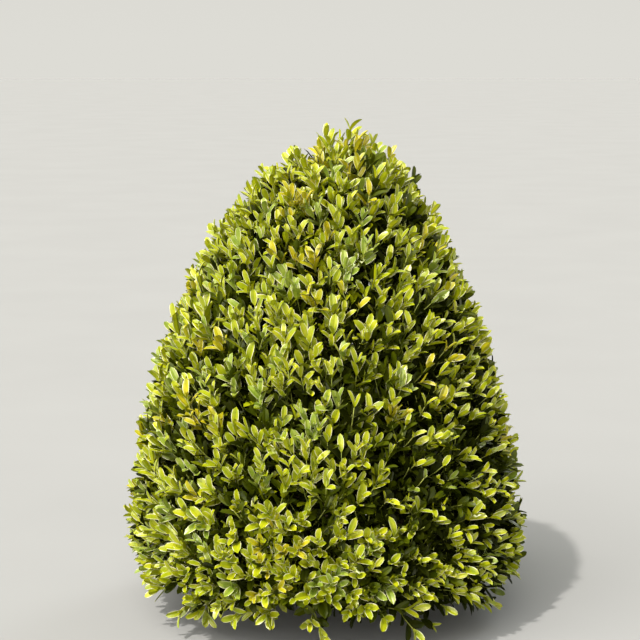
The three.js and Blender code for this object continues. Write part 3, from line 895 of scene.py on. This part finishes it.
def add_bump(nodes, links, shader, height, look):
    """Bumps from a height, with their strength and distance."""
    bump = nodes.new("ShaderNodeBump")
    bump.inputs["Strength"].default_value, bump.inputs["Distance"].default_value = look
    links.new(height, bump.inputs["Height"])
    links.new(bump.outputs["Normal"], shader.inputs["Normal"])


def linear(colour):
    """An sRGB colour of 0 to 255 as linear values."""
    parts = [part / 255 for part in colour]
    return tuple(((part + 0.055) / 1.055) ** 2.4 if part > 0.04045 else part / 12.92 for part in parts)


def toned(colour, factors):
    """A colour with its red, green and blue each made stronger or weaker."""
    return tuple(min(1, part * factor) for part, factor in zip(colour, factors))


def leaf_material(name, colour, roughness, specular):
    """A waxy leaf: its tint varies a little from leaf to leaf and along a blade, and so does its gloss."""
    material, nodes, links, shader = new_material(name)
    colour = linear(colour)
    patches = noise(nodes, links, PATCH_SCALE)
    stops = list(zip(PATCH_STOPS, (toned(colour, DARK_PATCH), colour, toned(colour, LIGHT_PATCH))))
    links.new(ramp(nodes, links, patches, stops), shader.inputs["Base Color"])
    grain = noise(nodes, links, GRAIN_SCALE)
    gloss = nodes.new("ShaderNodeMapRange")
    gloss.inputs["To Min"].default_value = roughness - SMOOTHER
    gloss.inputs["To Max"].default_value = roughness + ROUGHER
    links.new(grain, gloss.inputs["Value"])
    links.new(gloss.outputs["Result"], shader.inputs["Roughness"])
    add_bump(nodes, links, shader, grain, LEAF_BUMP)
    shader.inputs["Specular IOR Level"].default_value = specular
    return material


def bark_material(name, dark, light, scale):
    """Bark of streaked greys and browns, rough, with fine cracks as bump."""
    material, nodes, links, shader = new_material(name)
    streaks = noise(nodes, links, scale, STREAK_DETAIL)
    stops = list(zip(STREAK_STOPS, (linear(dark), linear(light))))
    links.new(ramp(nodes, links, streaks, stops), shader.inputs["Base Color"])
    cracks = noise(nodes, links, scale * CRACK_FINENESS, CRACK_DETAIL)
    add_bump(nodes, links, shader, cracks, BARK_BUMP)
    shader.inputs["Roughness"].default_value = BARK_ROUGHNESS
    return material


def floor_material():
    """Matt pale paper, a little uneven in its grey."""
    material, nodes, links, shader = new_material("floor_paper")
    patches = noise(nodes, links, FLOOR_NOISE_SCALE)
    links.new(ramp(nodes, links, patches, FLOOR_STOPS), shader.inputs["Base Color"])
    shader.inputs["Roughness"].default_value = FLOOR_ROUGHNESS
    shader.inputs["Specular IOR Level"].default_value = 0
    return material


stem_bark = bark_material("bark", *STEM_BARK_LOOK)
wood_materials = [
    bark_material("twig_bark", *TWIG_BARK_LOOK),
    leaf_material("green_shoot", *GREEN_SHOOT_LOOK),
]
leaf_materials = [leaf_material(name, *look) for name, look in LEAF_LOOKS.items()]


def underside_height(radius):
    """Height of the cores' hollow underside in the source."""
    foot_radius, foot_z = outline_point(1.0, CORE_DEPTH)
    return HOLLOW_Z + (foot_z - HOLLOW_Z) * radius / foot_radius


def bough_place(number):
    """The azimuth and height at which a bough leaves the stem, in the middle of its sector."""
    azimuth = number * 2 * math.pi / SIDE_MASSES + math.pi / SIDE_MASSES
    return azimuth, BOUGH_LOWEST + BOUGH_STEP * ((number * BOUGH_SKIP) % SIDE_MASSES)


def bough_points(azimuth, height, shares):
    """Points at shares of the length of a bough's curve, as in the source."""
    reach, part = np.array(BOUGH_CONTROLS).T
    z = height + (underside_height(BOUGH_REACH) + MASS_STEM_SINK - height) * part
    control = np.column_stack([reach * math.cos(azimuth), reach * math.sin(azimuth), z])
    t = np.linspace(0, 1, CURVE_SAMPLES)[:, None]
    curve = (
        control[0] * (1 - t) ** 3
        + control[1] * 3 * t * (1 - t) ** 2
        + control[2] * 3 * t**2 * (1 - t)
        + control[3] * t**3
    )
    lengths = lengths_along(curve)
    at = np.asarray(shares) * lengths[-1]
    return np.column_stack([np.interp(at, lengths, curve[:, axis]) for axis in range(3)])


def bough_parting(azimuth, height):
    """The share of a bough's curve at which it ends, short of the underside."""
    shares = np.arange(1, 0, -PARTING_STEP)
    points = bough_points(azimuth, height, shares)
    under = underside_height(np.hypot(points[:, 0], points[:, 1])) - MASS_STEM_SHOWS
    return shares[np.argmax(points[:, 2] <= under)]


def bough_line(azimuth, height, parting):
    """Points along a bough, from the stem's side to where it ends."""
    return bough_points(azimuth, height, np.linspace(BOUGH_FIRST_SHARE, parting, BOUGH_RINGS))


def stem_top():
    """Height of the fork in the top mass, where the stem's curve ends."""
    return split_height(0.0) + MASS_STEM_SINK


def stem_parting():
    """The share of the stem's height at which it ends, short of the top mass."""
    return 1 - (MASS_STEM_SINK + MASS_STEM_SHOWS) / stem_top()


def stem_points(shares):
    """Points at shares of the stem's height, on a cubic through its four sway points as in the source."""
    z = np.asarray(shares) * stem_top()
    knots = np.array(SWAY_PLACES) * stem_top()
    x = np.polyval(np.polyfit(knots, np.array(SWAY_X) * STEM_SWAY, 3), z)
    y = np.polyval(np.polyfit(knots, np.array(SWAY_Y) * STEM_SWAY, 3), z)
    return np.column_stack([x, y, z])


def furrow_depths(travelled, angles):
    """Depths of the furrows: a row for each distance along a limb, a column for each angle round it."""
    drift = sum(swing * np.sin(travelled * rate + phase)[:, None] for swing, rate, phase in FURROW_DRIFTS)
    uneven = FURROW_UNEVENNESS * np.sin(UNEVEN_WAVES * angles)
    furrows = np.abs(np.sin(angles * FURROWS / 2 + drift + uneven))
    twist = FADE_TWIST * np.sin(FADE_WAVES * angles)
    fade = FADE_MEAN + FADE_SWING * np.sin(travelled[:, None] * FADE_RATE + twist)
    return FURROW_DEPTH * (1 - furrows) ** 2 * fade


def swellings(travelled, angles):
    """How far a limb swells: a row for each distance along it, a column for each angle round it."""
    along = np.sin(travelled * SWELL_RATE + SWELL_PHASE)
    return SWELLING * (along[:, None] * np.cos(SWELL_WAVES * angles + SWELL_TURN))


def bark_limb(name, node, points, along, radius_at):
    """A limb with furrowed bark round points, its rings square to along; radius_at is its smooth radius."""
    travelled = lengths_along(points)
    angles = angles_round(BARK_SIDES)
    radii = radius_at(travelled, angles) - furrow_depths(travelled, angles) + swellings(travelled, angles)
    pieces = Pieces()
    add_tubes(pieces, points[None], along[None], radii[None], BARK)
    limb = pieces.mesh(name, [stem_bark])
    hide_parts(node)
    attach(limb, "root")


def make_stem():
    """The stem, flared over its root lobes, up to where the top mass begins."""
    points = stem_points(stem_parting() * np.linspace(0, 1, STEM_RINGS) ** STEM_RING_CROWDING)

    def radius_at(travelled, angles):
        taper = STEM_RADIUS + (STEM_TIP_RADIUS - STEM_RADIUS) * travelled / stem_top()
        flare = FLARE * np.exp(-travelled / FLARE_HEIGHT)
        lobes = 1 + LOBE_DEPTH * np.cos(ROOT_LOBES * angles)
        return taper[:, None] + flare[:, None] * lobes[None]

    bark_limb("stem_bark", "stem", points, np.repeat(UP[None], len(points), axis=0), radius_at)


def make_bough(number):
    """One bough, from the stem's side to where its sector begins."""
    place = bough_place(number)
    parting = bough_parting(*place)
    points = bough_line(*place, parting)
    length = np.linalg.norm(np.diff(points, axis=0), axis=1).sum() / parting

    def radius_at(travelled, angles):
        taper = BOUGH_RADIUS + (BOUGH_TIP_RADIUS - BOUGH_RADIUS) * travelled / length
        return taper[:, None] + 0 * angles

    node = f"bough_{number + 1}"
    bark_limb(f"{node}_bark", node, points, unit(np.gradient(points, axis=0)), radius_at)


def mass_table():
    """The masses as the source parts them, each with its share of the sprays and its own stem and fork."""
    top_area = even_shares(0, SPLIT_SHARE, 1)[1]
    side_area = even_shares(SPLIT_SHARE, 1, 1)[1] / SIDE_MASSES
    whole = top_area + side_area * SIDE_MASSES
    masses = [
        {
            "node": "foliage_top",
            "from_share": 0.0,
            "to_share": SPLIT_SHARE,
            "from": 0.0,
            "to": 2 * math.pi,
            "sprays": round(SPRAYS * top_area / whole),
            "branches": round(BRANCHES * top_area / whole),
            "start": 0.0,
            "stem": stem_points([stem_parting()])[0],
            "fork": stem_points([1.0])[0],
            "stem_radius": TOP_MASS_STEM_RADIUS,
        }
    ]
    for number in range(SIDE_MASSES):
        start = number * 2 * math.pi / SIDE_MASSES
        place = bough_place(number)
        masses.append(
            {
                "node": f"foliage_side_{number + 1}",
                "from_share": SPLIT_SHARE,
                "to_share": 1.0,
                "from": start,
                "to": start + 2 * math.pi / SIDE_MASSES,
                "sprays": round(SPRAYS * side_area / whole),
                "branches": round(BRANCHES * side_area / whole),
                "start": number * GOLDEN * GOLDEN,
                "stem": bough_line(*place, bough_parting(*place))[-1],
                "fork": bough_points(*place, [1.0])[0],
                "stem_radius": SIDE_MASS_STEM_RADIUS,
            }
        )
    return masses


def make_masses():
    """Every mass of foliage: one piece for its leaves and one for its wood."""
    for number, mass in enumerate(mass_table()):
        leaves, wood = grow_mass(mass, SEED + number)
        leaf_piece = leaves.mesh(f"leaves_{mass['node']}", leaf_materials)
        wood_piece = wood.mesh(f"twigs_{mass['node']}", wood_materials)
        for piece, slot in ((leaf_piece, "foliage"), (wood_piece, "bark")):
            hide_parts(mass["node"])
            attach(piece, "root")


def make_floor():
    """A plain pale floor."""
    mesh = bpy.data.meshes.new("floor")
    corners = [(x * FLOOR_REACH, y * FLOOR_REACH, 0) for x, y in ((-1, -1), (1, -1), (1, 1), (-1, 1))]
    mesh.from_pydata(corners, [], [(0, 1, 2, 3)])
    floor = bpy.data.objects.new("floor", mesh)
    bpy.context.scene.collection.objects.link(floor)
    mesh.materials.append(floor_material())


def add_light(name, azimuth, elevation, strength, softness, colour):
    """A far light at an azimuth and elevation in degrees, as wide as its softness in degrees."""
    data = bpy.data.lights.new(name, "SUN")
    data.energy = strength
    data.angle = math.radians(softness)
    data.color = colour
    light = bpy.data.objects.new(name, data)
    bpy.context.scene.collection.objects.link(light)
    turn, tilt = math.radians(azimuth), math.radians(elevation)
    towards = Vector((-math.cos(turn) * math.cos(tilt), -math.sin(turn) * math.cos(tilt), -math.sin(tilt)))
    light.rotation_euler = towards.to_track_quat("-Z", "Y").to_euler()


def make_lights():
    """A warm key light and a broad fill from the front left, a weak one behind, and pale surroundings."""
    for name, look in LIGHTS.items():
        add_light(name, *look)
    world = bpy.data.worlds.new("studio")
    world.use_nodes = True
    nodes, links = world.node_tree.nodes, world.node_tree.links
    height = nodes.new("ShaderNodeSeparateXYZ")
    links.new(nodes.new("ShaderNodeTexCoord").outputs["Generated"], height.inputs["Vector"])
    links.new(ramp(nodes, links, height.outputs["Z"], SURROUNDINGS), nodes["Background"].inputs["Color"])
    bpy.context.scene.world = world


def make_camera():
    """The photograph's view: slightly from above, through a long lens."""
    data = bpy.data.cameras.new("camera")
    data.sensor_width = SENSOR_WIDTH
    data.lens = LENS
    distance = FRAMED_WIDTH * LENS / SENSOR_WIDTH
    camera = bpy.data.objects.new("camera", data)
    bpy.context.scene.collection.objects.link(camera)
    camera.location = AIM + distance * Vector((0, -math.cos(VIEW_ELEVATION), math.sin(VIEW_ELEVATION)))
    camera.rotation_euler = (math.pi / 2 - VIEW_ELEVATION, 0, 0)
    bpy.context.scene.camera = camera
    bpy.context.scene.view_settings.view_transform = "Standard"
    bpy.context.scene.view_settings.gamma = GAMMA


make_camera()
make_lights()
make_floor()
make_stem()
for bough in range(SIDE_MASSES):
    make_bough(bough)
make_masses()
